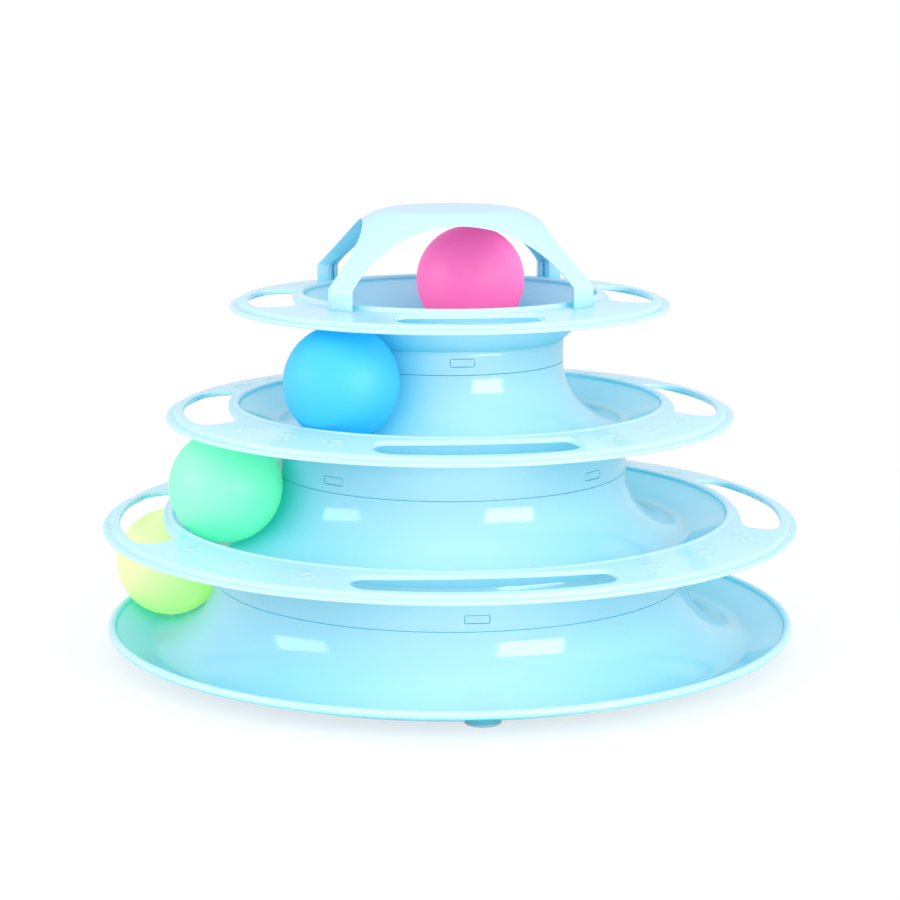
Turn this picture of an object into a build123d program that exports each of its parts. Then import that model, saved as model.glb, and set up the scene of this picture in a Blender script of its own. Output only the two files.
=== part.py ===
from build123d import *
from math import acos, atan2, cos, sin, sqrt
import os

# Cat ball track toy: a tower of moulded trays that snap into each other, with one ball rolling in
# each track and an arched guard over the top bowl. Millimetres, +Z up, the tower stands on Z = 0
# and its axis is Z. The snap windows and track slots are counted from the front, which is -Y.

# Shared sizes: the ball sets the width and height of every track
ball_diameter = 40.0
wall = 1.8
track_play = 2.5
head_room = 5.8
seam_gap = 0.3
fit_clearance = 0.25
overrun = 5.0
copies = 4
quarter_turn = 90.0
eighth_turn = 45.0
closing_edge_turn = 30.0

# Base tray
base_neck_radius = 86.5
base_floor_height = 3.4
base_slope_width = 14.5
base_slope_rise = 5.5
rim_bead_radius = 1.5

# Second and third tier: each neck stands inside the one below
second_neck_inset = 22.5
second_slope_width = 14.9
second_flange_width = 24.6
third_neck_inset = 23.0
third_slope_width = 13.7
third_flange_width = 25.3
bead_rise = 6.3
bead_section_radius = 1.2

# Flange round each track: a nearly flat ring that rolls down to a narrow outer lip
flange_fall = 0.8
roll_radius = 3.0
lip_width = 2.4
lip_drop = 0.9
lip_edge_radius = 0.6

# Paw slots in each flange
slot_bead_margin = 3.3
slot_rim_margin = 7.0
slot_angle = 45.0
slot_inner_corner = 1.5
slot_outer_corner = 6.0

# Snap joint between a neck and the tier that stands on it
stub_height = 5.8
stub_wall = 1.4
window_width = 8.6
window_height = 2.9
window_rise = 2.6
window_play = 0.3
tab_recess = 0.25

# Top bowl
bowl_floor_inset = 14.0
bowl_slope_width = 4.1
bowl_flange_width = 25.4
bowl_wall_angle = 50.0
bowl_dome_rise = 4.0
bowl_seat_clearance = 0.4

# Guard over the bowl
guard_foot_margin = 6.0
guard_leg_width = 11.2
guard_knee_rise = 7.0
guard_head_room = 4.7
guard_plate_share = 0.41
guard_plate_thickness = 3.8
guard_depth = 3.2
guard_wall = 1.5
guard_bulge = 1.6
guard_shoulder_radius = 16.0
guard_knee_radius = 2.0
tongue_width = 4.0
tongue_thickness = 1.8
tongue_length = 3.0

# Balls
ball_wall = 1.2
ball_play = 0.3
base_ball_angle = 163.0
second_ball_angle = 195.0
third_ball_angle = 227.0
top_ball_angle = 67.0
top_ball_inset = 1.2

# Feet
pad_inset = 6.0
pad_radius = 6.2
pad_thickness = 1.0
boss_radius = 7.6

# Radii that follow from the sizes above
trough_radius = ball_diameter / 2 + track_play
base_crease_radius = base_neck_radius + trough_radius
pad_circle_radius = base_crease_radius - pad_inset
second_neck_radius = base_neck_radius - second_neck_inset
second_bead_radius = second_neck_radius + trough_radius + second_slope_width
second_rim_radius = second_bead_radius + second_flange_width
third_neck_radius = second_neck_radius - third_neck_inset
third_bead_radius = third_neck_radius + trough_radius + third_slope_width
third_rim_radius = third_bead_radius + third_flange_width
bowl_floor_radius = third_neck_radius - bowl_floor_inset
bowl_bead_radius = bowl_floor_radius + trough_radius + bowl_slope_width
bowl_rim_radius = bowl_bead_radius + bowl_flange_width
guard_foot_radius = bowl_bead_radius + guard_foot_margin
guard_plate_radius = guard_foot_radius * guard_plate_share

# Heights: every flange clears the ball in the track below it
tier_pitch = ball_diameter + head_room - bead_rise
second_floor_height = base_floor_height + tier_pitch
third_floor_height = second_floor_height + tier_pitch
base_seam_height = base_floor_height + trough_radius
second_seam_height = second_floor_height + trough_radius
third_seam_height = third_floor_height + trough_radius
bowl_bead_height = third_floor_height + ball_diameter + head_room
guard_knee_height = bowl_bead_height + guard_knee_rise

# The bowl hangs just clear of the collar inside its skirt
collar_reach = third_neck_radius - wall - fit_clearance - stub_wall - bowl_floor_radius
collar_top = third_seam_height + stub_height
bowl_under_radius = trough_radius + wall
bowl_arc_height = collar_top + bowl_seat_clearance + sqrt(bowl_under_radius**2 - collar_reach**2)
bowl_floor_height = bowl_arc_height - trough_radius
top_ball_height = bowl_floor_height + ball_play + ball_diameter / 2
guard_top_height = top_ball_height + ball_diameter / 2 + guard_head_room + guard_plate_thickness

# The legs stand on the diagonals, which leaves this half width for each arch
half_leg = guard_leg_width / 2
guard_arch_half_width = (sqrt(guard_foot_radius**2 - half_leg**2) - half_leg) / sqrt(2)


def bar(r_low, r_high, z_low, z_high):
    """Rectangle in the radial plane, given by its radii and heights."""
    with Locations(((r_low + r_high) / 2, (z_low + z_high) / 2)):
        Rectangle(r_high - r_low, z_high - z_low)


def around(shape, start_angle, count=copies):
    """Copies of a shape, spaced evenly about the tower's axis."""
    return [Rot(0, 0, start_angle + turn * 360 / count) * shape for turn in range(count)]


def flange_end(rim_radius, height):
    """Points of the flange's outer stretch: shoulder, foot of the roll, and the lip's edge."""
    shoulder_radius = rim_radius - lip_width - roll_radius
    shoulder = (shoulder_radius, height - flange_fall)
    roll_foot = (shoulder_radius + roll_radius, height - flange_fall - roll_radius)
    lip_root = (roll_foot[0], roll_foot[1] - lip_drop)
    lip_edge = (rim_radius, lip_root[1])
    return shoulder, roll_foot, lip_root, lip_edge


def add_flange(bead_radius, rim_radius, height):
    """Draws the flange's upper line from the bead out to the lip."""
    shoulder, roll_foot, lip_root, lip_edge = flange_end(rim_radius, height)
    Line((bead_radius, height), shoulder)
    RadiusArc(shoulder, roll_foot, roll_radius)
    Line(roll_foot, lip_root)
    Line(lip_root, lip_edge)


def add_neck(neck_radius, seam):
    """Draws the trumpet-shaped neck's line, from the seam down to the lowest ring of the trough."""
    crease_radius = neck_radius + trough_radius
    CenterArc((crease_radius, seam), trough_radius, 180, quarter_turn)


def add_stub(neck_radius, seam):
    """Collar that stands on the neck, inside the next tier's skirt, with the ledge that carries it."""
    stub_radius = neck_radius - wall - fit_clearance
    bar(stub_radius - stub_wall, neck_radius - wall / 2, seam - wall, seam)
    bar(stub_radius - stub_wall, stub_radius, seam - wall, seam + stub_height)


def add_skirt(skirt_radius, seam_below, arc_radius, arc_height, slope):
    """Tube that hangs under a trough, or under its slope, and carries on the line of the neck below it."""
    reach = skirt_radius - wall / 2 - arc_radius
    middle_radius = trough_radius + wall / 2
    if reach < 0 or slope == 0:
        top = arc_height - sqrt(middle_radius**2 - reach**2)
    else:
        top = arc_height - middle_radius + reach * slope
    bar(skirt_radius - wall, skirt_radius, seam_below + seam_gap, top)


def window_height_range(seam):
    """Lower and upper height of the snap windows above a seam."""
    low = seam + seam_gap + window_rise
    return low, low + window_height


def snap_windows(skirt_radius, seam_below, start_angle):
    """Window cutters through a skirt."""
    low, high = window_height_range(seam_below)
    place = Pos(0, -skirt_radius, (low + high) / 2)
    cutter = place * Box(window_width, 2 * (wall + fit_clearance), high - low)
    return around(cutter, start_angle)


def snap_tabs(neck_radius, seam, start_angle):
    """Tabs on a collar that fill the windows of the skirt around it."""
    low, high = window_height_range(seam)
    outer = neck_radius - tab_recess
    inner = neck_radius - wall - fit_clearance - stub_wall / 2
    place = Pos(0, -(inner + outer) / 2, (low + high) / 2)
    tab = place * Box(window_width - 2 * window_play, outer - inner, high - low - 2 * window_play)
    return around(tab, start_angle)


def paw_slots(bead_radius, rim_radius, height):
    """Cutters for the curved slots in a flange."""
    outer = rim_radius - slot_rim_margin
    inner = bead_radius + slot_bead_margin
    start = -quarter_turn - slot_angle / 2
    with BuildSketch() as slot:
        with BuildLine():
            far_arc = CenterArc((0, 0), outer, start, slot_angle)
            near_arc = CenterArc((0, 0), inner, start, slot_angle)
            Line(far_arc @ 0, near_arc @ 0)
            Line(far_arc @ 1, near_arc @ 1)
        make_face()
        corners = slot.vertices().sort_by_distance((0, 0))
        fillet(corners[:2], slot_inner_corner)
        fillet(slot.vertices().sort_by_distance((0, 0))[-2:], slot_outer_corner)
    depth = flange_fall + wall + roll_radius
    cutter = Pos(0, 0, height - depth) * extrude(slot.sketch, depth + overrun)
    return around(cutter, 0)


def revolved(profile):
    """Full turn of a radial profile about the axis, with its closing edge clear of slots and feet."""
    return Rot(0, 0, closing_edge_turn) * revolve(profile.sketch, Axis.Z)


def round_lip(profile, rim_radius):
    """Rounds the two edges of the lip's rim."""
    edge = [v for v in profile.vertices() if abs(v.X - rim_radius) < lip_edge_radius / 2]
    fillet(edge, lip_edge_radius)


def make_base_tray():
    seam = base_seam_height
    crease = (base_crease_radius, base_floor_height)
    lip = (base_crease_radius + base_slope_width, base_floor_height + base_slope_rise)
    with BuildSketch(Plane.XZ) as profile:
        with BuildLine():
            add_neck(base_neck_radius, seam)
            Line(crease, lip)
            offset(amount=wall, side=Side.RIGHT, kind=Kind.INTERSECTION)
        make_face()
        with Locations(lip):
            Circle(rim_bead_radius)
        add_stub(base_neck_radius, seam)
    tray = revolved(profile)
    boss_height = base_floor_height + 2 * wall - pad_thickness
    boss = Pos(0, -pad_circle_radius, pad_thickness) * Cone(
        pad_radius, boss_radius, boss_height, align=(Align.CENTER, Align.CENTER, Align.MIN)
    )
    boss -= Pos(0, 0, seam) * Torus(base_crease_radius, trough_radius + wall / 2)
    return tray + around(boss, 0) + snap_tabs(base_neck_radius, seam, 0)


def make_tier(
    floor_height, rim_radius, bead_radius, neck_radius, skirt_radius, seam_below, window_turn, tab_turn
):
    """One middle tier: skirt, trough, bead, slotted flange and the neck for the next tier."""
    seam = floor_height + trough_radius
    crease_radius = neck_radius + trough_radius
    slope = bead_rise / (bead_radius - crease_radius)
    flange_height = floor_height + bead_rise
    with BuildSketch(Plane.XZ) as profile:
        with BuildLine():
            add_neck(neck_radius, seam)
            Line((crease_radius, floor_height), (bead_radius, flange_height))
            add_flange(bead_radius, rim_radius, flange_height)
            offset(amount=wall, side=Side.RIGHT, kind=Kind.INTERSECTION)
        make_face()
        round_lip(profile, rim_radius)
        with Locations((bead_radius, flange_height)):
            Circle(bead_section_radius)
        add_stub(neck_radius, seam)
        add_skirt(skirt_radius, seam_below, crease_radius, seam, slope)
    tier = revolved(profile)
    tier -= paw_slots(bead_radius, rim_radius, flange_height)
    tier -= snap_windows(skirt_radius, seam_below, window_turn)
    return tier + snap_tabs(neck_radius, seam, tab_turn)


def make_top_bowl():
    lowest = (bowl_floor_radius, bowl_floor_height)
    arc_centre = (bowl_floor_radius, bowl_arc_height)
    with BuildSketch(Plane.XZ) as profile:
        with BuildLine():
            dome_top = (0, bowl_floor_height + bowl_dome_rise)
            dome_flank = (bowl_floor_radius / 2, bowl_floor_height + bowl_dome_rise / 2)
            crest = TangentArc(dome_top, dome_flank, tangent=(1, 0))
            TangentArc(dome_flank, lowest, tangent=crest % 1)
            wall_arc = CenterArc(arc_centre, trough_radius, -quarter_turn, bowl_wall_angle)
            Line(wall_arc @ 1, (bowl_bead_radius, bowl_bead_height))
            add_flange(bowl_bead_radius, bowl_rim_radius, bowl_bead_height)
            offset(amount=wall, side=Side.RIGHT, kind=Kind.INTERSECTION)
        make_face()
        round_lip(profile, bowl_rim_radius)
        with Locations((bowl_bead_radius, bowl_bead_height)):
            Circle(bead_section_radius)
        add_skirt(third_neck_radius, third_seam_height, bowl_floor_radius, bowl_arc_height, 0)
    bowl = revolved(profile)
    bowl -= paw_slots(bowl_bead_radius, bowl_rim_radius, bowl_bead_height)
    bowl -= snap_windows(third_neck_radius, third_seam_height, 0)
    return bowl - tongue_holes()


def tongue_place(height):
    """Centre of a guard tongue on the front radius, at a height."""
    return Pos(0, -(guard_foot_radius - guard_depth / 2), height)


def tongue_holes():
    """Cutters for the holes that take the guard's tongues."""
    width = tongue_width + 2 * fit_clearance
    depth = tongue_thickness + 2 * fit_clearance
    hole = tongue_place(bowl_bead_height) * Box(width, depth, 2 * tongue_length)
    return around(hole, eighth_turn)


def guard_dome(inset, drop):
    """Solid under the guard's outer surface, moved in by a radial inset and down by a drop."""
    foot_radius = guard_foot_radius - inset
    plate_radius = guard_plate_radius - inset
    top = guard_top_height - drop
    with BuildSketch(Plane.XZ) as section:
        with BuildLine():
            foot = (foot_radius, bowl_bead_height)
            knee = (foot_radius, guard_knee_height)
            shoulder = (plate_radius, top)
            Line((0, bowl_bead_height), foot)
            Line(foot, knee)
            SagittaArc(shoulder, knee, guard_bulge)
            Line(shoulder, (0, top))
            Line((0, top), (0, bowl_bead_height))
        make_face()
        corners = section.vertices()
        fillet(corners.sort_by_distance(knee)[0], guard_knee_radius)
        fillet(section.vertices().sort_by_distance(shoulder)[0], guard_shoulder_radius)
    return revolved(section)


def arch_tunnels(growth):
    """The two crossing tunnels that leave the guard's four legs, grown on all sides."""
    half_width = guard_arch_half_width + growth
    apex = guard_top_height - guard_plate_thickness + growth
    length = 2 * (guard_foot_radius + overrun)
    with BuildSketch(Plane.XZ) as arch:
        with BuildLine():
            left = (-half_width, guard_knee_height)
            right = (half_width, guard_knee_height)
            ThreePointArc(left, (0, apex), right)
            Polyline(
                right,
                (half_width, bowl_bead_height - overrun),
                (-half_width, bowl_bead_height - overrun),
                left,
            )
        make_face()
    tunnel = extrude(arch.sketch, length / 2, both=True)
    return [tunnel, Rot(0, 0, quarter_turn) * tunnel]


def make_guard():
    guard = guard_dome(0, 0) - guard_dome(guard_depth, guard_plate_thickness)
    guard -= arch_tunnels(0)
    pocket = guard_dome(guard_wall, guard_plate_thickness) - arch_tunnels(guard_wall)
    guard -= pocket
    low = bowl_bead_height - tongue_length
    height = tongue_length + guard_knee_radius
    tongue = tongue_place(low + height / 2) * Box(tongue_width, tongue_thickness, height)
    return guard + around(tongue, eighth_turn)


def ball_in_track(neck_radius, seam, slope_run, slope_rise, angle):
    """A ball that rests between a neck and the sloping wall of its track."""
    slope = atan2(slope_rise, slope_run)
    gap = track_play - ball_play
    lean = acos(1 - trough_radius * (1 - cos(slope)) / gap) - slope
    radius = neck_radius + trough_radius - gap * sin(lean)
    return place_ball(radius, seam - gap * cos(lean), angle)


def place_ball(radius, height, angle):
    """Hollow ball with its centre at a radius, height and angle about the axis."""
    ball = Sphere(ball_diameter / 2) - Sphere(ball_diameter / 2 - ball_wall)
    return Rot(0, 0, angle) * Pos(radius, 0, height) * ball


def make_balls():
    base_track = (base_neck_radius, base_seam_height, base_slope_width, base_slope_rise)
    second_track = (second_neck_radius, second_seam_height, second_slope_width, bead_rise)
    third_track = (third_neck_radius, third_seam_height, third_slope_width, bead_rise)
    top_radius = bowl_floor_radius - top_ball_inset
    return {
        "base_ball": ball_in_track(*base_track, base_ball_angle),
        "second_ball": ball_in_track(*second_track, second_ball_angle),
        "third_ball": ball_in_track(*third_track, third_ball_angle),
        "top_ball": place_ball(top_radius, top_ball_height, top_ball_angle),
    }


def make_pads():
    """Rubber pads under the four foot bosses."""
    pad = Cylinder(pad_radius, pad_thickness, align=(Align.CENTER, Align.CENTER, Align.MIN))
    placed = around(Pos(0, -pad_circle_radius) * pad, 0)
    names = ["foot_pad_front", "foot_pad_right", "foot_pad_back", "foot_pad_left"]
    return dict(zip(names, placed))


pieces = {
    "base_tray": make_base_tray(),
    "second_tier": make_tier(
        second_floor_height,
        second_rim_radius,
        second_bead_radius,
        second_neck_radius,
        base_neck_radius,
        base_seam_height,
        0,
        eighth_turn,
    ),
    "third_tier": make_tier(
        third_floor_height,
        third_rim_radius,
        third_bead_radius,
        third_neck_radius,
        second_neck_radius,
        second_seam_height,
        eighth_turn,
        0,
    ),
    "top_bowl": make_top_bowl(),
    "guard": make_guard(),
}
pieces.update(make_balls())
pieces.update(make_pads())

os.makedirs("parts", exist_ok=True)
for name, piece in pieces.items():
    export_step(piece, f"parts/{name}.step")
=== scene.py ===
from math import acos, asin, atan2, cos, degrees, hypot, pi, radians, sin, sqrt, tan

import bmesh
import bpy
from mathutils import Matrix, Vector


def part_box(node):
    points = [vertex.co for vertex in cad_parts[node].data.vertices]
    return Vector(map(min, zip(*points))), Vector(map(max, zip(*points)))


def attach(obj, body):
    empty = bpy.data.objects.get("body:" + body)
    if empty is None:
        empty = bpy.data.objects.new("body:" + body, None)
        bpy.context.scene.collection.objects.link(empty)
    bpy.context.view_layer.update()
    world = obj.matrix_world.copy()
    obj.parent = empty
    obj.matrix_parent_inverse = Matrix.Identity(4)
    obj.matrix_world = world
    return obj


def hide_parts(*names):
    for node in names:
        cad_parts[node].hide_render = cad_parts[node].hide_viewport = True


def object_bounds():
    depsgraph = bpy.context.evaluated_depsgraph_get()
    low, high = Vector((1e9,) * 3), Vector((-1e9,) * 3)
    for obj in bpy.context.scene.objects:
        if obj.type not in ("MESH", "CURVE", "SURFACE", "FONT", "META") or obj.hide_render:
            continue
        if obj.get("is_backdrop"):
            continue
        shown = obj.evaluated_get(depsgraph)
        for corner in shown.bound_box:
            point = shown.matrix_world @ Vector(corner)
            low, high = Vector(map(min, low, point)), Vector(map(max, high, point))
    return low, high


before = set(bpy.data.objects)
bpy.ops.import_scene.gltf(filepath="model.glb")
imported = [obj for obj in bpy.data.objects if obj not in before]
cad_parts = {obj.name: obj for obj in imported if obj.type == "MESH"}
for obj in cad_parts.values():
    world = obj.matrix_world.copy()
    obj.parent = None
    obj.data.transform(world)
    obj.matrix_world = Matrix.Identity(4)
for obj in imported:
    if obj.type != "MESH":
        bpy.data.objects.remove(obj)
cad_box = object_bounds()

# Sizes in millimetres, angles in degrees
MM = 0.001
MERGE = 0.002
WALL = 1.8
FIT = 0.25
TROUGH = 22.5
CREASE = 9.0
STRAIGHT = 1.0
QUARTERS = (-90, 0, 90, 180)
DIAGONALS = (-45, 45, 135, 225)

# Necks, and the seams at which the mouldings meet
TIER_PITCH = 39.5
SEAM_GAP = 0.15
BASE_NECK, BASE_SEAM = 86.5, 25.9
SECOND_NECK, SECOND_SEAM = 64.0, BASE_SEAM + TIER_PITCH
THIRD_NECK, THIRD_SEAM = 41.0, SECOND_SEAM + TIER_PITCH
NECK_END = 263
INSIDE_START, INSIDE_TURN = 266, 81

# Collars, skirts, snap windows and the tabs that fill them
COLLAR_HEIGHT, COLLAR_WALL, COLLAR_EDGE = 5.8, 1.4, 0.4
LEDGE_CORNER, LEDGE_EDGE = 0.15, 0.2
SKIRT_INNER_EDGE, SKIRT_OUTER_EDGE = 0.3, 0.2
WINDOW_HALF_WIDTH, WINDOW_LOW, WINDOW_HIGH = 4.3, 2.9, 5.8
WINDOW_CORNER, WINDOW_EDGE, WINDOW_MARGIN = 0.5, 0.2, 0.7
TAB_PLAY, TAB_RECESS, TAB_EDGE = 0.12, 0.15, 0.3

# Base tray and foot pads
BASE_LIP = (123.5, 8.9)
BASE_WALL = 1.0
RIM_BEAD, RIM_BEAD_LAP, RIM_BEAD_TURN = 1.5, 18, 300
BASE_UNDER_START = 2.2
BASE_UNDER_BEND = (1.0, 0.2)
PAD_CIRCLE, PAD_RADIUS, PAD_THICKNESS = 103.0, 6.2, 1.0
PAD_PLAY, PAD_LOWER_EDGE, PAD_UPPER_EDGE = 0.05, 0.45, 0.1
BOSS_RADIUS, BOSS_EDGE = 7.6, 0.5

# Tiers, from the bead beside the track out to the lip
SECOND_BEAD, SECOND_RIM = 101.4, 126.0
THIRD_BEAD, THIRD_RIM = 77.2, 102.5
TIER_UNDER_BEND = (1.5, 0.5)
BEAD, BEAD_RISE, BEAD_LIFT, BEAD_GAP = 1.1, 6.3, 0.5, 0.5
BEAD_LAP, BEAD_END = 14, 40
FLANGE_START, FLANGE_RISE, FLANGE_FALL = 0.4, 1.2, 1.0
ROLL, ROLL_TURN = 1.4, 88
LIP_WIDTH, LIP_DROP, LIP_WALL = 2.4, 0.2, 1.4
LIP_ROOT, LIP_EDGE, LIP_INSIDE, LIP_EASE = 0.35, 0.6, 0.3, 0.6

# Paw slots, and paw prints as (along, outwards, half width, half depth)
SLOT_HALF_ANGLE = 22.5
SLOT_BEAD_MARGIN, SLOT_RIM_MARGIN = 2.9, 6.2
SLOT_INNER_CORNER, SLOT_OUTER_CORNER = 3.0, 8.0
SLOT_BACK_SHARE = 0.75
SLOT_EDGE, SLOT_MARGIN = 0.5, 1.1
PAW_TOES = ((-3.6, 0.6, 1.1, 1.4), (-1.4, 2.7, 1.15, 1.5), (1.4, 2.7, 1.15, 1.5), (3.6, 0.6, 1.1, 1.4))
PAW_PAD = (0.0, -1.8, 2.5, 2.0)
PAW_RISE, PAW_SINK, PAW_INSET = 0.4, 0.1, 0.6

# Places and headings of the paw prints between two slots
SECOND_PAWS = ((-14, 20), (0, -25), (14, 15))
THIRD_PAWS = ((-13, -20), (0, 25), (13, -15))

# Top bowl, guard and balls
BOWL_FLOOR_RADIUS, BOWL_FLOOR, BOWL_DOME = 27.0, 110.5, 4.0
BOWL_BEAD, BOWL_BEAD_HEIGHT, BOWL_RIM, BOWL_RISE = 53.6, 128.2, 79.0, 0.3
BOWL_WALL_TURN, BOWL_SLOPE_TURN, BOWL_UNDER_TURN = 44, 50, 48
GUARD_MERGE, GUARD_FLAT, GUARD_SHARP = 0.02, 0.2, 35
GUARD_EDGE, GUARD_CREASE = 0.35, 28
BALL_RADIUS = 20.0
GROOVE_DEPTH, GROOVE_EDGE, GROOVE_FLOOR = 0.12, 0.9, 0.3
BASE_BALL_TILT, SECOND_BALL_TILT, THIRD_BALL_TILT, TOP_BALL_TILT = 62, 118, 71, 128

# Steps along arcs and columns round turns
EDGE_STEPS, OPENING_EDGE_STEPS, BEVEL_STEPS = 5, 3, 3
CREASE_STEPS, ROLL_STEPS, BEAD_STEPS, RIM_STEPS = 6, 9, 12, 24
NECK_STEPS, INSIDE_STEPS, THINNED_STEPS = 26, 20, 10
DOME_STEPS, BOWL_STEPS, BALL_STEPS = 8, 14, 48
SIDE_STEPS, INNER_STEPS, OUTER_STEPS, END_STEPS = 18, 4, 6, 2
WINDOW_SIDE_STEPS, WINDOW_CORNER_STEPS = 3, 2
SLOT_LAND_STEPS, WINDOW_LAND_STEPS = 30, 44
PAW_SIDES, PAW_ROWS = 20, 6
BASE_COLUMNS, FOOT_COLUMNS, BALL_COLUMNS = 288, 48, 96

# Grain of the plastics as (scale, detail), and the painted shade in their hollows
DRIFT_GRAIN, GLOSS_GRAIN, SKIN_GRAIN = (14.0, 3.0), (55.0, 4.0), (1400.0, 2.0)
GRAIN_LOW, GRAIN_HIGH = 0.3, 0.7
GLOSS_SHARE = 0.15
SKIN_STRENGTH, SKIN_DEPTH = 0.05, 0.2
SHADE_REACH, SHADE_END, SHADE_SAMPLES = 60, 0.6, 6

# Camera at the photograph's place, a little to the left of the front slot, and the studio
VIEW_TURN, VIEW_DOWN, VIEW_DISTANCE, VIEW_HEIGHT = -6.0, 10.79, 827.3, 228.8
SENSOR, LENS, NEAR_CLIP = 36, 92.34, 10
LIGHT_TARGET = 70
FLOOR_HALF_SIZE, FLOOR_GREY, FLOOR_ROUGHNESS = 6000, 0.9, 0.9
WHITE_NEAR, WHITE_FAR = 140, 400
WHITE_NEAR_SHARE = 0.7


# Materials


def srgb(red, green, blue):
    """Linear colour from 0-255 screen values."""
    def linear(value):
        share = value / 255
        return share / 12.92 if share <= 0.04045 else ((share + 0.055) / 1.055) ** 2.4

    return (linear(red), linear(green), linear(blue), 1.0)


def plastic(name, pale, deep, painted_shade, roughness=0.5, specular=0.4, through=0.3, painted_glow=0):
    """Moulded plastic that lets some light through, with a slight drift of colour, uneven gloss and a fine
    skin, and painted shade: its colour turns deeper and more saturated in hollows and under overhangs. The
    balls get a painted glow, an emission that stands in for light bouncing onto them and shining through
    them."""
    pale, deep, painted_shade = srgb(*pale), srgb(*deep), srgb(*painted_shade)
    material = bpy.data.materials.new(name)
    material.use_nodes = True
    nodes, links = material.node_tree.nodes, material.node_tree.links
    shader = nodes["Principled BSDF"]
    shader.inputs["Specular IOR Level"].default_value = specular
    # Painted glow: emission in the pale colour that stands in for light bouncing onto the balls and shining
    # through them
    shader.inputs["Emission Color"].default_value = pale
    shader.inputs["Emission Strength"].default_value = painted_glow
    place = nodes.new("ShaderNodeTexCoord")

    def noise(scale, detail):
        node = nodes.new("ShaderNodeTexNoise")
        node.inputs["Scale"].default_value = scale
        node.inputs["Detail"].default_value = detail
        links.new(place.outputs["Object"], node.inputs["Vector"])
        return node.outputs["Fac"]

    def spread(value, start, end, low, high):
        node = nodes.new("ShaderNodeMapRange")
        node.inputs["From Min"].default_value = start
        node.inputs["From Max"].default_value = end
        node.inputs["To Min"].default_value = low
        node.inputs["To Max"].default_value = high
        links.new(value, node.inputs["Value"])
        return node.outputs["Result"]

    def blend(factor, first, second):
        node = nodes.new("ShaderNodeMix")
        node.data_type = "RGBA"
        links.new(factor, node.inputs["Factor"])
        colours = [socket for socket in node.inputs if socket.type == "RGBA"]
        for socket, colour in zip(colours, (first, second)):
            if isinstance(colour, tuple):
                socket.default_value = colour
            else:
                links.new(colour, socket)
        return next(socket for socket in node.outputs if socket.type == "RGBA")

    # Painted shade: where ambient occlusion finds the surface hemmed in, the colour turns to the deeper, more
    # saturated shade colour
    painted_shade_mask = nodes.new("ShaderNodeAmbientOcclusion")
    painted_shade_mask.samples = SHADE_SAMPLES
    painted_shade_mask.inputs["Distance"].default_value = SHADE_REACH * MM
    drift = blend(spread(noise(*DRIFT_GRAIN), GRAIN_LOW, GRAIN_HIGH, 0, 1), pale, deep)
    colour = blend(spread(painted_shade_mask.outputs["AO"], 0, SHADE_END, 0, 1), painted_shade, drift)
    links.new(colour, shader.inputs["Base Color"])
    smooth, rough = roughness * (1 - GLOSS_SHARE), roughness * (1 + GLOSS_SHARE)
    gloss = spread(noise(*GLOSS_GRAIN), GRAIN_LOW, GRAIN_HIGH, smooth, rough)
    links.new(gloss, shader.inputs["Roughness"])
    skin = nodes.new("ShaderNodeBump")
    skin.inputs["Strength"].default_value = SKIN_STRENGTH
    skin.inputs["Distance"].default_value = SKIN_DEPTH * MM
    links.new(noise(*SKIN_GRAIN), skin.inputs["Height"])
    links.new(skin.outputs["Normal"], shader.inputs["Normal"])
    inside = nodes.new("ShaderNodeBsdfTranslucent")
    links.new(colour, inside.inputs["Color"])
    wall = nodes.new("ShaderNodeMixShader")
    wall.inputs[0].default_value = through
    links.new(shader.outputs[0], wall.inputs[1])
    links.new(inside.outputs[0], wall.inputs[2])
    links.new(wall.outputs[0], nodes["Material Output"].inputs["Surface"])
    return material


# Each plastic gives its pale and deep colours, between which the tone drifts at random, then its painted
# shade colour for hollows and under overhangs
AQUA = plastic("aqua_plastic", (218, 245, 253), (213, 243, 252), (92, 238, 255), roughness=0.075)
LIME = plastic("lime_plastic", (230, 252, 184), (224, 250, 174), (212, 250, 154), painted_glow=0.32)
MINT = plastic("mint_plastic", (158, 250, 206), (146, 248, 200), (110, 250, 206), painted_glow=0.24)
SKY = plastic("sky_plastic", (80, 204, 252), (70, 200, 251), (50, 214, 252), painted_glow=0.12)
PINK = plastic("pink_plastic", (255, 146, 210), (255, 136, 204), (255, 80, 168), painted_glow=0.3)
RUBBER = plastic(
    "pad_rubber", (226, 246, 250), (220, 242, 247), (206, 238, 246),
    roughness=0.75, specular=0.3, through=0.2,
)


# Pieces


def add_piece(name, mesh, body, slot, material, *replaced):
    """Piece with a mesh in metres, which rides on a body and stands for CAD nodes."""
    mesh.polygons.foreach_set("use_smooth", [True] * len(mesh.polygons))
    mesh.materials.clear()
    mesh.materials.append(material)
    piece = bpy.data.objects.new(name, mesh)
    bpy.context.scene.collection.objects.link(piece)
    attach(piece, body)
    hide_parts(*replaced)
    return piece


def new_piece(name, bm, body, slot, material, *replaced):
    """Piece from a bmesh in millimetres."""
    bmesh.ops.remove_doubles(bm, verts=bm.verts, dist=MERGE)
    bmesh.ops.recalc_face_normals(bm, faces=bm.faces)
    bmesh.ops.scale(bm, vec=(MM, MM, MM), verts=bm.verts)
    mesh = bpy.data.meshes.new(name)
    bm.to_mesh(mesh)
    bm.free()
    piece = add_piece(name, mesh, body, slot, material, *replaced)
    piece.modifiers.new("normals", "WEIGHTED_NORMAL")


# Profiles: lists of (radius, height) points


def polar(radius, angle, centre=(0, 0)):
    """Point at a distance and an angle from a centre."""
    return (centre[0] + radius * cos(radians(angle)), centre[1] + radius * sin(radians(angle)))


def arc(centre, radius, start, sweep, steps):
    """Points along an arc."""
    return [polar(radius, start + sweep * i / steps, centre) for i in range(steps + 1)]


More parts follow.
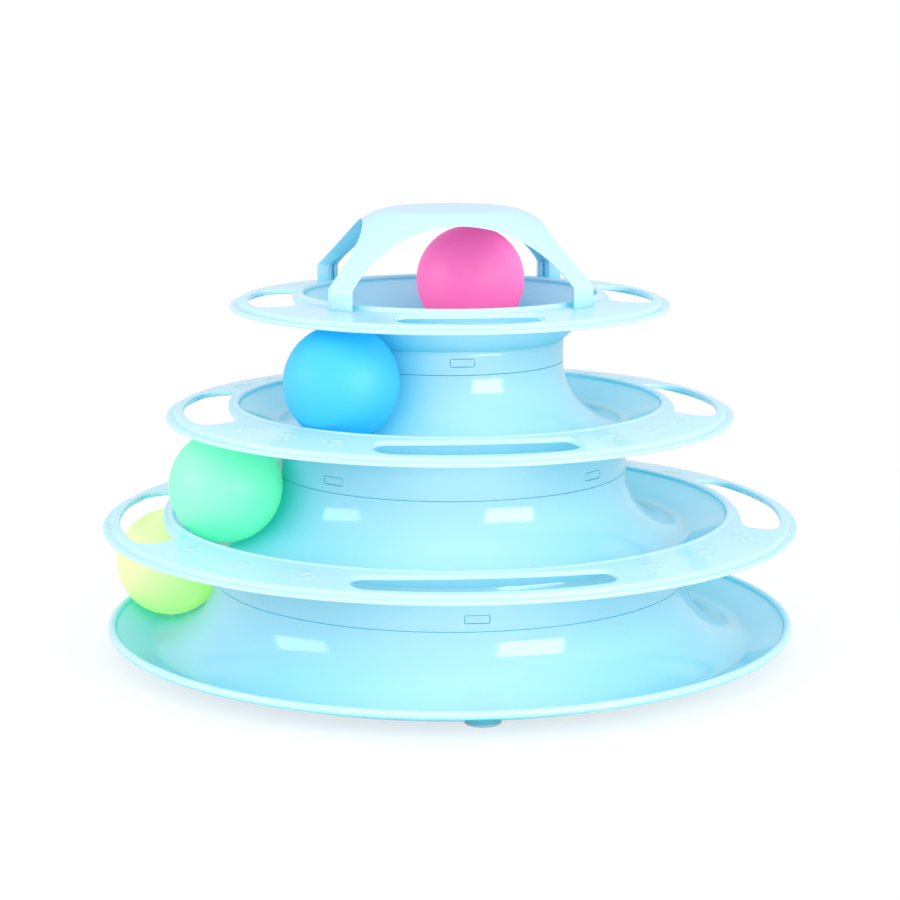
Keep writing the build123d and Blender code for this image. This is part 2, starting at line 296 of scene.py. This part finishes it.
def rounded(corners, steps=EDGE_STEPS):
    """Points along a polyline of (radius, height, rounding) corners."""
    points = []
    for i, (r, z, rounding) in enumerate(corners):
        if not rounding:
            points.append((r, z))
            continue
        here = Vector((r, z))
        back = (Vector(corners[i - 1][:2]) - here).normalized()
        on = (Vector(corners[i + 1][:2]) - here).normalized()
        half = acos(max(-1.0, min(1.0, back.dot(on)))) / 2
        centre = here + (back + on).normalized() * (rounding / sin(half))
        first = here + back * (rounding / tan(half)) - centre
        last = here + on * (rounding / tan(half)) - centre
        start = atan2(first.y, first.x)
        sweep = (atan2(last.y, last.x) - start + pi) % (2 * pi) - pi
        points += arc(centre, rounding, degrees(start), degrees(sweep), steps)
    return points


def on_line(line, radius):
    """Height of a straight stretch of profile at a radius."""
    (r0, z0), (r1, z1) = line
    return z0 + (z1 - z0) * (radius - r0) / (r1 - r0)


# Turned shells with openings


def full_turn(count):
    """Even angles right round an axis."""
    return [360 * i / count for i in range(count)]


def ring_angles(turns, offsets, land_steps):
    """Angles round the axis, with a column at each offset from every turn, where a window is, and even
    columns between the windows. Also gives the first column of each window."""
    angles, starts = [], []
    for k, turn in enumerate(turns):
        starts.append(len(angles))
        angles += [turn + offset for offset in offsets[:-1]]
        begin = turn + offsets[-1]
        span = (turns[(k + 1) % len(turns)] + offsets[0] - begin) % 360
        angles += [begin + span * i / land_steps for i in range(land_steps)]
    return angles, starts


def bridge(bm, loops):
    """Faces between each closed loop of vertices and the next."""
    for one, two in zip(loops, loops[1:]):
        for i in range(len(one)):
            j = (i + 1) % len(one)
            bm.faces.new((one[i], one[j], two[j], two[i]))


def turned(bm, profile, angles, windows=()):
    """Closed profile turned about Z. Each window is (first column, columns across, outer points, inner
    points, rings): its cells are left out of both faces of the wall, and the rings line the opening."""
    columns = []
    for angle in angles:
        c, s = cos(radians(angle)), sin(radians(angle))
        columns.append([bm.verts.new((r * c, r * s, z)) for r, z in profile])
    count, size = len(columns), len(profile)
    open_cells = set()
    for first, across, outer, inner, _ in windows:
        for stations in (outer, inner):
            cells = [min(a, b) for a, b in zip(stations, stations[1:])]
            open_cells.update((j % count, p) for j in range(first, first + across) for p in cells)
    for j in range(count):
        a, b = columns[j], columns[(j + 1) % count]
        for p in range(size):
            q = (p + 1) % size
            if (j, p) not in open_cells:
                bm.faces.new((a[p], b[p], b[q], a[q]))
    for first, across, outer, inner, rings in windows:
        loops = [border(columns, first, across, outer)]
        loops += [[bm.verts.new(point) for point in ring] for ring in rings]
        loops.append(border(columns, first, across, inner))
        bridge(bm, loops)


def border(columns, first, across, stations):
    """Vertices round a window, from the middle of its first side."""
    def at(k, j):
        return columns[(first + j) % len(columns)][stations[k]]

    half, last = across // 2, len(stations) - 1
    loop = [at(0, j) for j in range(half, across)]
    loop += [at(k, across) for k in range(last)]
    loop += [at(last, j) for j in range(across, 0, -1)]
    loop += [at(k, 0) for k in range(last, 0, -1)]
    return loop + [at(0, j) for j in range(half)]


def turned_with_openings(bm, profile, turns, offsets, land_steps, outer, inner, rings):
    """Closed profile turned about Z, with the same opening at several turns. The rings are (along, outwards,
    height) points, seen from the axis."""
    angles, starts = ring_angles(turns, offsets, land_steps)
    windows = []
    for turn, first in zip(turns, starts):
        c, s = cos(radians(turn)), sin(radians(turn))
        lining = [[(y * c - x * s, y * s + x * c, z) for x, y, z in ring] for ring in rings]
        windows.append((first, len(offsets) - 1, outer, inner, lining))
    turned(bm, profile, angles, windows)


def mirrored_loop(half):
    """Closed loop from its right half, which runs from the middle of one side to the middle of the other."""
    return half + [(-x, y) for x, y in reversed(half[1:-1])]


def mirrored_offsets(half):
    """Offsets to both sides from those to one side."""
    return [-offset for offset in reversed(half[1:])] + half


def even_stops(stops, counts):
    """Values from stop to stop, with a count of even steps between each two."""
    values = [stops[0]]
    for low, high, count in zip(stops, stops[1:], counts):
        values += [low + (high - low) * (i + 1) / count for i in range(count)]
    return values


def edge_rings(outline, place, rounding):
    """Rings that line an opening with rounded edges. place(x, y, face, depth) puts a point of the outline at
    a depth under the outer face, 0, or the inner face, 1."""
    turns = [radians(90 * i / OPENING_EDGE_STEPS) for i in range(OPENING_EDGE_STEPS + 1)]
    rings = []
    for face in (0, 1):
        for turn in turns if face == 0 else reversed(turns):
            loop = outline(rounding * (1 - sin(turn)))
            rings.append([place(x, y, face, rounding * (1 - cos(turn))) for x, y in loop])
    return rings


def slot_corners(inner, outer):
    """Centre and angle of the arc along a slot's inner edge, which is flatter than the flange, the centre of
    the corner at its end, and the angle at which the outer corner starts, seen from the axis."""
    back = SLOT_BACK_SHARE * inner
    h = radians(SLOT_HALF_ANGLE)
    c = SLOT_INNER_CORNER
    root = (back * cos(h)) ** 2 - back**2 - c**2 - 2 * c * back * sin(h) + (inner + back + c) ** 2
    along = sqrt(root) - back * cos(h)
    corner = (along * sin(h) - c * cos(h), along * cos(h) + c * sin(h))
    near = degrees(atan2(corner[0], corner[1] + back))
    far = SLOT_HALF_ANGLE - degrees(asin(SLOT_OUTER_CORNER / (outer - SLOT_OUTER_CORNER)))
    return back, near, corner, far


def slot_outline(inner, outer, grow):
    """Slot seen from above, with x along it and y outwards."""
    back, near, corner, far = slot_corners(inner, outer)
    half = arc((0, -back), inner + back - grow, 90, -near, SIDE_STEPS)
    turn = 90 - SLOT_HALF_ANGLE + near
    half += arc(corner, SLOT_INNER_CORNER + grow, 270 - near, turn, 2 * INNER_STEPS)[1:]
    centre = polar(outer - SLOT_OUTER_CORNER, 90 - far)
    turn = 90 + SLOT_HALF_ANGLE - far
    rest = arc(centre, SLOT_OUTER_CORNER + grow, -SLOT_HALF_ANGLE, turn, 2 * OUTER_STEPS)
    start = half[-1]
    for i in range(1, END_STEPS):
        half.append(tuple(a + (b - a) * i / END_STEPS for a, b in zip(start, rest[0])))
    side = arc((0, 0), outer + grow, 90 - far, far, SIDE_STEPS + INNER_STEPS - OUTER_STEPS)
    return mirrored_loop(half + rest + side[1:])


def slot_offsets(inner, outer):
    """Column offsets across a slot's window."""
    back, near, _, _ = slot_corners(inner, outer)
    x, y = polar(inner + back, 90 - near, (0, -back))
    end = SLOT_HALF_ANGLE + degrees(SLOT_MARGIN / inner)
    return mirrored_offsets(even_stops((0, degrees(atan2(x, y)), end), (SIDE_STEPS, INNER_STEPS)))


def slot_radii(inner, outer):
    """Radii of a slot window's rows, from its inner edge to its outer one."""
    corners = (inner + SLOT_INNER_CORNER, outer - SLOT_OUTER_CORNER)
    stops = (inner - SLOT_MARGIN, *corners, outer + SLOT_MARGIN)
    return even_stops(stops, (INNER_STEPS, END_STEPS, OUTER_STEPS))


def window_outline(low, high, grow):
    """Snap window with rounded corners, x across and y up."""
    r = WINDOW_CORNER + grow
    right, bottom, top = WINDOW_HALF_WIDTH - WINDOW_CORNER, low + WINDOW_CORNER, high - WINDOW_CORNER
    half = [(right * i / WINDOW_SIDE_STEPS, low - grow) for i in range(WINDOW_SIDE_STEPS)]
    half += arc((right, bottom), r, 270, 90, 2 * WINDOW_CORNER_STEPS)
    half += arc((right, top), r, 0, 90, 2 * WINDOW_CORNER_STEPS)
    half += [(right * (1 - (i + 1) / WINDOW_SIDE_STEPS), high + grow) for i in range(WINDOW_SIDE_STEPS)]
    return mirrored_loop(half)


def window_offsets(radius):
    """Column offsets across a snap window at a radius."""
    right, end = WINDOW_HALF_WIDTH - WINDOW_CORNER, WINDOW_HALF_WIDTH + WINDOW_MARGIN
    half = even_stops((0, right, end), (WINDOW_SIDE_STEPS, WINDOW_CORNER_STEPS))
    return mirrored_offsets([degrees(asin(x / radius)) for x in half])


def window_rows(low, high):
    """Heights of a snap window's rows, from its lower edge to its upper one."""
    stops = (low - WINDOW_MARGIN, low + WINDOW_CORNER, high - WINDOW_CORNER, high + WINDOW_MARGIN)
    return even_stops(stops, (WINDOW_CORNER_STEPS, 1, WINDOW_CORNER_STEPS))


# Parts that the mouldings share


def add_skirt(bm, radius, seam_below, top, turns):
    """Tube with snap windows that stands on the neck below."""
    foot, inside = seam_below + SEAM_GAP, radius - WALL
    low, high = seam_below + WINDOW_LOW, seam_below + WINDOW_HIGH
    rows = window_rows(low, high)
    profile = rounded([
        (inside, foot + STRAIGHT, 0),
        (inside, foot, SKIRT_INNER_EDGE),
        (radius, foot, SKIRT_OUTER_EDGE),
        (radius, foot + STRAIGHT, 0),
    ])
    outer = [len(profile) + i for i in range(len(rows))]
    profile += [(radius, z) for z in rows] + [(radius, top), (inside, top)]
    inner = [len(profile) + len(rows) - 1 - i for i in range(len(rows))]
    profile += [(inside, z) for z in reversed(rows)]

    def outline(grow):
        return window_outline(low, high, grow)

    def place(x, y, face, depth):
        reach = inside + depth if face else radius - depth
        return (x, sqrt(reach**2 - x**2), y)

    rings = edge_rings(outline, place, WINDOW_EDGE)
    offsets = window_offsets(radius)
    turned_with_openings(bm, profile, turns, offsets, WINDOW_LAND_STEPS, outer, inner, rings)


def add_tabs(bm, neck, seam, turns):
    """Snap tabs on a collar, which fill the windows of the skirt around it."""
    outer, inner = neck - TAB_RECESS, neck - WALL - FIT - COLLAR_WALL / 2
    low, high = seam + WINDOW_LOW + TAB_PLAY, seam + WINDOW_HIGH - TAB_PLAY
    size = (2 * (WINDOW_HALF_WIDTH - TAB_PLAY), outer - inner, high - low)
    place = Matrix.Translation((0, -(inner + outer) / 2, (low + high) / 2))
    for turn in turns:
        tab = bmesh.ops.create_cube(bm, size=1)["verts"]
        bmesh.ops.scale(bm, vec=size, verts=tab)
        edges = list({edge for vert in tab for edge in vert.link_edges})
        tab = bmesh.ops.bevel(
            bm, geom=edges, offset=TAB_EDGE, segments=BEVEL_STEPS, profile=0.5, affect="EDGES"
        )["verts"]
        bmesh.ops.transform(bm, matrix=Matrix.Rotation(radians(turn + 90), 4, "Z") @ place, verts=tab)


def neck_profile(neck, seam):
    """Collar, its ledge and the outside of the trumpet-shaped neck, down to near the bottom of the trough."""
    collar, top = neck - WALL - FIT, seam + COLLAR_HEIGHT
    points = rounded([
        (collar - COLLAR_WALL, top - STRAIGHT, 0),
        (collar - COLLAR_WALL, top, COLLAR_EDGE),
        (collar, top, COLLAR_EDGE),
        (collar, seam, LEDGE_CORNER),
        (neck, seam, LEDGE_EDGE),
        (neck, seam - STRAIGHT, 0),
    ])[:-1]
    begin = 180 + degrees(asin(STRAIGHT / TROUGH))
    return points + arc((neck + TROUGH, seam), TROUGH, begin, NECK_END - begin, NECK_STEPS)


def neck_inside(neck, seam, wall):
    """Inside of the neck, from the bottom of the trough, where the wall may be thinner, up to the collar."""
    points = []
    for i in range(INSIDE_STEPS + 1):
        reach = TROUGH + wall + (WALL - wall) * min(1, i / THINNED_STEPS)
        angle = INSIDE_START - INSIDE_TURN * i / INSIDE_STEPS
        points.append(polar(reach, angle, (neck + TROUGH, seam)))
    return points + [(neck - WALL - FIT - COLLAR_WALL, seam - WALL)]


def bead_bump(bead, height, slope):
    """Raised bead where a sloping wall meets the flange, from a point on the slope just before it."""
    centre, start = (bead, height + BEAD_LIFT), 180 + slope - BEAD_LAP
    before = polar(BEAD + BEAD_GAP, 180 + slope, centre)
    return [before] + arc(centre, BEAD, start, BEAD_END - start, BEAD_STEPS)


def add_flange(profile, bead, height, rim, rise):
    """Extends a profile from the bead out to the lip and back along the underside. Gives the slots' inner and
    outer radius, the line of the upper face, and where the slots' rows are in the profile on both faces."""
    near, far = bead + SLOT_BEAD_MARGIN, rim - SLOT_RIM_MARGIN
    radii = slot_radii(near, far)
    shoulder, foot = rim - LIP_WIDTH - ROLL, height - FLANGE_FALL - ROLL
    line = ((bead, height + rise), (shoulder, height - FLANGE_FALL))
    lip, inside = foot - LIP_DROP, shoulder + ROLL - WALL
    start, end = bead + BEAD + FLANGE_START, inside - LIP_EASE
    profile.append((start, on_line(line, start)))
    outer = [len(profile) + i for i in range(len(radii))]
    profile += [(r, on_line(line, r)) for r in radii]
    profile += arc((shoulder, foot), ROLL, ROLL_TURN, -ROLL_TURN, ROLL_STEPS)
    profile += rounded([
        (shoulder + ROLL, foot, 0),
        (shoulder + ROLL, lip, LIP_ROOT),
        (rim, lip, LIP_EDGE),
        (rim, lip - LIP_WALL, LIP_EDGE),
        (inside, lip - LIP_WALL, LIP_INSIDE),
        (inside, height - FLANGE_FALL - WALL, LIP_INSIDE),
        (end, on_line(line, end) - WALL, 0),
    ])[1:]
    inner = [len(profile) + len(radii) - 1 - i for i in range(len(radii))]
    profile += [(r, on_line(line, r) - WALL) for r in reversed(radii)]
    profile.append((bead, height + rise - WALL))
    return near, far, line, outer, inner


def add_slotted(bm, profile, near, far, line, outer, inner):
    """Turned wall with a paw slot in each quarter of its flange."""
    def outline(grow):
        return slot_outline(near, far, grow)

    def place(x, y, face, depth):
        top = on_line(line, hypot(x, y))
        return (x, y, top - WALL + depth if face else top - depth)

    rings = edge_rings(outline, place, SLOT_EDGE)
    offsets = slot_offsets(near, far)
    turned_with_openings(bm, profile, QUARTERS, offsets, SLOT_LAND_STEPS, outer, inner, rings)


def add_paw(bm, angle, radius, line, heading):
    """Paw print raised on a flange: a pad and toes, pointing along a heading seen from above."""
    turn = Matrix.Rotation(radians(angle - 90 + heading), 3, "Z")
    centre = Vector((*polar(radius, angle), 0))
    for x, y, half_x, half_y in (PAW_PAD, *PAW_TOES):
        loops = []
        for k in range(PAW_ROWS):
            reach, rise = polar(1, 90 * k / PAW_ROWS)
            loop = []
            for side in full_turn(PAW_SIDES):
                along, out = polar(reach, side)
                point = centre + turn @ Vector((x + along * half_x, y + out * half_y, 0))
                point.z = on_line(line, hypot(point.x, point.y)) - PAW_SINK + rise * PAW_RISE
                loop.append(bm.verts.new(point))
            loops.append(loop)
        bridge(bm, loops)
        bm.faces.new(loops[-1])
        bm.faces.new(loops[0][::-1])


# The object's pieces


def make_base():
    """Base tray: rolled rim, trough, neck, collar and the bosses over the foot pads."""
    bm = bmesh.new()
    floor, crease = BASE_SEAM - TROUGH, BASE_NECK + TROUGH
    slope = degrees(atan2(BASE_LIP[1] - floor, BASE_LIP[0] - crease))
    grade = tan(radians(slope))
    profile = neck_profile(BASE_NECK, BASE_SEAM)
    profile += rounded([(*profile[-1], 0), (crease, floor, CREASE), (*BASE_LIP, 0)], CREASE_STEPS)[1:-1]
    profile += arc(BASE_LIP, RIM_BEAD, 180 + slope - RIM_BEAD_LAP, slope - RIM_BEAD_TURN, RIM_STEPS)
    under = polar(BASE_WALL, slope - 90, BASE_LIP)
    profile.append((under[0] - BASE_UNDER_START, under[1] - BASE_UNDER_START * grade))
    profile.append((crease + BASE_UNDER_BEND[0], floor - BASE_WALL + BASE_UNDER_BEND[1]))
    profile += neck_inside(BASE_NECK, BASE_SEAM, BASE_WALL)
    turned(bm, profile, full_turn(BASE_COLUMNS))
    add_tabs(bm, BASE_NECK, BASE_SEAM, QUARTERS)

    def mid_wall(radius):
        if radius > crease:
            return floor - BASE_WALL / 2 + (radius - crease) * grade
        return BASE_SEAM - sqrt((TROUGH + BASE_WALL / 2) ** 2 - (crease - radius) ** 2)

    boss = rounded([
        (0, PAD_THICKNESS, 0),
        (PAD_RADIUS, PAD_THICKNESS, BOSS_EDGE),
        (BOSS_RADIUS, floor, 0),
    ])
    for turn in QUARTERS:
        foot = polar(PAD_CIRCLE, turn)
        loops = []
        for radius, height in boss:
            loops.append([(*polar(radius, angle, foot), height) for angle in full_turn(FOOT_COLUMNS)])
        loops[-1] = [(x, y, mid_wall(hypot(x, y))) for x, y, _ in loops[-1]]
        bridge(bm, [[bm.verts.new(point) for point in loop] for loop in loops])
    new_piece("base_shell", bm, "base", "body", AQUA, "base_tray")


def make_tier(name, neck, seam, bead, rim, skirt, seam_below, window_turns, tab_turns, paws):
    """One middle tier: skirt, trough, bead, slotted flange, neck and collar."""
    bm = bmesh.new()
    floor, crease = seam - TROUGH, neck + TROUGH
    height = floor + BEAD_RISE
    bump = bead_bump(bead, height, degrees(atan2(BEAD_RISE, bead - crease)))
    profile = neck_profile(neck, seam)
    profile += rounded([(*profile[-1], 0), (crease, floor, CREASE), (*bump[0], 0)], CREASE_STEPS)[1:-1]
    profile += bump
    near, far, line, outer, inner = add_flange(profile, bead, height, rim, FLANGE_RISE)
    profile.append((crease + TIER_UNDER_BEND[0], floor - WALL + TIER_UNDER_BEND[1]))
    profile += neck_inside(neck, seam, WALL)
    add_slotted(bm, profile, near, far, line, outer, inner)
    add_skirt(bm, skirt, seam_below, floor - WALL / 2, window_turns)
    add_tabs(bm, neck, seam, tab_turns)
    for land in DIAGONALS:
        for step, heading in paws:
            add_paw(bm, land + step, (near + far) / 2 - PAW_INSET, line, heading)
    new_piece(name + "_shell", bm, name, "body", AQUA, name)


def make_bowl():
    """Top bowl: skirt, bowl with a raised middle, bead and slotted flange."""
    bm = bmesh.new()
    centre = (BOWL_FLOOR_RADIUS, BOWL_FLOOR + TROUGH)
    half = BOWL_FLOOR_RADIUS / 2
    bend = (half**2 + (BOWL_DOME / 2) ** 2) / BOWL_DOME
    sweep = degrees(asin(half / bend))
    dome, dip = (0, BOWL_FLOOR + BOWL_DOME - bend), (BOWL_FLOOR_RADIUS, BOWL_FLOOR + bend)
    end = polar(TROUGH, 270 + BOWL_SLOPE_TURN, centre)
    slope = degrees(atan2(BOWL_BEAD_HEIGHT - end[1], BOWL_BEAD - end[0]))
    profile = arc(dome, bend, 90, -sweep, DOME_STEPS)
    profile += arc(dip, bend, 270 - sweep, sweep, DOME_STEPS)[1:]
    profile += arc(centre, TROUGH, 270, BOWL_WALL_TURN, BOWL_STEPS)[1:]
    profile += bead_bump(BOWL_BEAD, BOWL_BEAD_HEIGHT, slope)
    near, far, line, outer, inner = add_flange(profile, BOWL_BEAD, BOWL_BEAD_HEIGHT, BOWL_RIM, BOWL_RISE)
    profile += arc(centre, TROUGH + WALL, 270 + BOWL_UNDER_TURN, -BOWL_UNDER_TURN, BOWL_STEPS)
    profile += arc(dip, bend + WALL, 270, -sweep, DOME_STEPS)[1:]
    profile += arc(dome, bend - WALL, 90 - sweep, sweep, DOME_STEPS)
    add_slotted(bm, profile, near, far, line, outer, inner)
    reach = THIRD_NECK - WALL / 2 - BOWL_FLOOR_RADIUS
    skirt_top = centre[1] - sqrt((TROUGH + WALL / 2) ** 2 - reach**2)
    add_skirt(bm, THIRD_NECK, THIRD_SEAM, skirt_top, QUARTERS)
    new_piece("top_bowl_shell", bm, "top_bowl", "body", AQUA, "top_bowl")


def make_guard():
    """The guard's CAD solid with its edges rounded off."""
    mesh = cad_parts["guard"].data.copy()
    bm = bmesh.new()
    bm.from_mesh(mesh)
    bmesh.ops.remove_doubles(bm, verts=bm.verts, dist=GUARD_MERGE * MM)
    bmesh.ops.dissolve_limit(bm, angle_limit=radians(GUARD_FLAT), verts=bm.verts, edges=bm.edges)
    sharp = [e for e in bm.edges if e.is_manifold and e.calc_face_angle() > radians(GUARD_SHARP)]
    bmesh.ops.bevel(
        bm, geom=sharp, offset=GUARD_EDGE * MM, segments=BEVEL_STEPS, profile=0.5, affect="EDGES",
        clamp_overlap=True,
    )
    bm.to_mesh(mesh)
    bm.free()
    mesh.set_sharp_from_angle(angle=radians(GUARD_CREASE))
    add_piece("guard_shell", mesh, "guard", "body", AQUA, "guard")


def make_ball(node, slot, material, tilt):
    """Ball moulded in two halves, with a fine groove where they are welded."""
    bm = bmesh.new()
    profile = arc((0, 0), BALL_RADIUS, 90, -180, BALL_STEPS)
    equator, groove = BALL_STEPS // 2, BALL_RADIUS - GROOVE_DEPTH
    profile[equator - 1 : equator + 2] = [
        polar(BALL_RADIUS, GROOVE_EDGE),
        polar(groove, GROOVE_FLOOR),
        polar(groove, -GROOVE_FLOOR),
        polar(BALL_RADIUS, -GROOVE_EDGE),
    ]
    turned(bm, profile, full_turn(BALL_COLUMNS))
    bmesh.ops.rotate(bm, matrix=Matrix.Rotation(radians(tilt), 3, "X"), verts=bm.verts)
    low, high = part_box(node)
    bmesh.ops.translate(bm, vec=(low + high) / 2 / MM, verts=bm.verts)
    new_piece(node + "_skin", bm, node, slot, material, node)


def make_pad(node):
    """Rubber foot pad with a rounded lower edge."""
    bm = bmesh.new()
    radius = PAD_RADIUS - PAD_PLAY
    profile = rounded([
        (0, 0, 0),
        (radius, 0, PAD_LOWER_EDGE),
        (radius, PAD_THICKNESS, PAD_UPPER_EDGE),
        (0, PAD_THICKNESS, 0),
    ])
    turned(bm, profile, full_turn(FOOT_COLUMNS))
    low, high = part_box(node)
    centre = (low + high) / 2 / MM
    bmesh.ops.translate(bm, vec=(centre.x, centre.y, 0), verts=bm.verts)
    new_piece(node + "_skin", bm, "base", "pad", RUBBER, node)


make_base()
make_tier(
    "second_tier", SECOND_NECK, SECOND_SEAM, SECOND_BEAD, SECOND_RIM,
    BASE_NECK, BASE_SEAM, QUARTERS, DIAGONALS, SECOND_PAWS,
)
make_tier(
    "third_tier", THIRD_NECK, THIRD_SEAM, THIRD_BEAD, THIRD_RIM,
    SECOND_NECK, SECOND_SEAM, DIAGONALS, QUARTERS, THIRD_PAWS,
)
make_bowl()
make_guard()
make_ball("base_ball", "yellow_ball", LIME, BASE_BALL_TILT)
make_ball("second_ball", "green_ball", MINT, SECOND_BALL_TILT)
make_ball("third_ball", "blue_ball", SKY, THIRD_BALL_TILT)
make_ball("top_ball", "pink_ball", PINK, TOP_BALL_TILT)
for side in ("front", "right", "back", "left"):
    make_pad("foot_pad_" + side)


# Camera, light and floor


camera = bpy.data.objects.new("camera", bpy.data.cameras.new("camera"))
camera.data.sensor_width = SENSOR
camera.data.lens = LENS
camera.data.clip_start = NEAR_CLIP * MM
camera.location = Vector((sin(radians(VIEW_TURN)), -cos(radians(VIEW_TURN)), 0)) * VIEW_DISTANCE * MM
camera.location.z = VIEW_HEIGHT * MM
camera.rotation_euler = (radians(90 - VIEW_DOWN), 0, radians(VIEW_TURN))
bpy.context.scene.collection.objects.link(camera)
bpy.context.scene.camera = camera


def add_softbox(name, azimuth, elevation, distance, width, height, power, mirrored):
    """Area light that faces the tower, at an azimuth counted from the front, with its sizes in metres. It is
    either mirrored in the gloss or lights the colour."""
    light = bpy.data.lights.new(name, "AREA")
    light.shape = "RECTANGLE"
    light.size, light.size_y, light.energy = width, height, power
    lamp = bpy.data.objects.new(name, light)
    a, e = radians(azimuth), radians(elevation)
    target = Vector((0, 0, LIGHT_TARGET * MM))
    lamp.location = target + Vector((sin(a) * cos(e), -cos(a) * cos(e), sin(e))) * distance
    lamp.rotation_euler = (lamp.location - target).to_track_quat("Z", "Y").to_euler()
    lamp.visible_glossy = mirrored
    lamp.visible_diffuse = not mirrored
    lamp.visible_transmission = not mirrored
    bpy.context.scene.collection.objects.link(lamp)


add_softbox("softbox_right", 31, 11, 1.15, 0.62, 0.44, 13, True)
add_softbox("softbox_left", -78, 14, 1.1, 0.55, 0.3, 3.5, True)
add_softbox("light_top", 10, 70, 1.4, 1.5, 1.5, 1.5, False)
add_softbox("light_right", 36, 22, 1.3, 0.9, 0.6, 6.2, False)
add_softbox("light_front", -12, 28, 1.5, 1.6, 0.9, 5.4, False)
add_softbox("light_left", -76, 20, 1.3, 0.9, 0.6, 3.5, False)


def show_white(tree, shader, share=None):
    """Mix of a shader with plain white for the camera, for mirrored views and for views through things, in
    full or by a share."""
    nodes, links = tree.nodes, tree.links
    path = nodes.new("ShaderNodeLightPath")

    def combine(operation, first, second):
        node = nodes.new("ShaderNodeMath")
        node.operation = operation
        links.new(first, node.inputs[0])
        links.new(second, node.inputs[1])
        return node.outputs[0]

    weight = path.outputs["Is Camera Ray"]
    for kind in ("Is Glossy Ray", "Is Transmission Ray"):
        weight = combine("MAXIMUM", weight, path.outputs[kind])
    if share is not None:
        weight = combine("MULTIPLY", weight, share)
    white = nodes.new("ShaderNodeEmission")
    white.inputs["Color"].default_value = (1, 1, 1, 1)
    white.inputs["Strength"].default_value = 1
    mix = nodes.new("ShaderNodeMixShader")
    links.new(weight, mix.inputs[0])
    links.new(shader.outputs[0], mix.inputs[1])
    links.new(white.outputs[0], mix.inputs[2])
    output = next(node for node in nodes if node.type.startswith("OUTPUT"))
    links.new(mix.outputs[0], output.inputs["Surface"])


def make_world():
    """Plain white surroundings."""
    world = bpy.data.worlds.new("studio")
    world.use_nodes = True
    bpy.context.scene.world = world
    background = world.node_tree.nodes["Background"]
    background.inputs["Color"].default_value = (1, 1, 1, 1)
    background.inputs["Strength"].default_value = 1
    show_white(world.node_tree, background)


def make_floor():
    """Pale floor that keeps the tower's shadow and is plain white further away."""
    bm = bmesh.new()
    bmesh.ops.create_grid(bm, x_segments=1, y_segments=1, size=FLOOR_HALF_SIZE * MM)
    mesh = bpy.data.meshes.new("floor")
    bm.to_mesh(mesh)
    bm.free()
    floor = bpy.data.objects.new("floor", mesh)
    bpy.context.scene.collection.objects.link(floor)
    floor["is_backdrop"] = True
    material = bpy.data.materials.new("floor")
    material.use_nodes = True
    nodes, links = material.node_tree.nodes, material.node_tree.links
    shader = nodes["Principled BSDF"]
    shader.inputs["Base Color"].default_value = (FLOOR_GREY, FLOOR_GREY, FLOOR_GREY, 1)
    shader.inputs["Roughness"].default_value = FLOOR_ROUGHNESS
    place = nodes.new("ShaderNodeTexCoord")
    reach = nodes.new("ShaderNodeVectorMath")
    reach.operation = "LENGTH"
    links.new(place.outputs["Object"], reach.inputs[0])
    fade = nodes.new("ShaderNodeMapRange")
    fade.inputs["From Min"].default_value = WHITE_NEAR * MM
    fade.inputs["From Max"].default_value = WHITE_FAR * MM
    fade.inputs["To Min"].default_value = WHITE_NEAR_SHARE
    fade.inputs["To Max"].default_value = 1
    links.new(reach.outputs["Value"], fade.inputs["Value"])
    show_white(material.node_tree, shader, fade.outputs["Result"])
    mesh.materials.append(material)


make_world()
make_floor()
bpy.context.scene.view_settings.view_transform = "Standard"

boxes = {"cad": cad_box, "visual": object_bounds()}
{name: [list(corner) for corner in box] for name, box in boxes.items()}
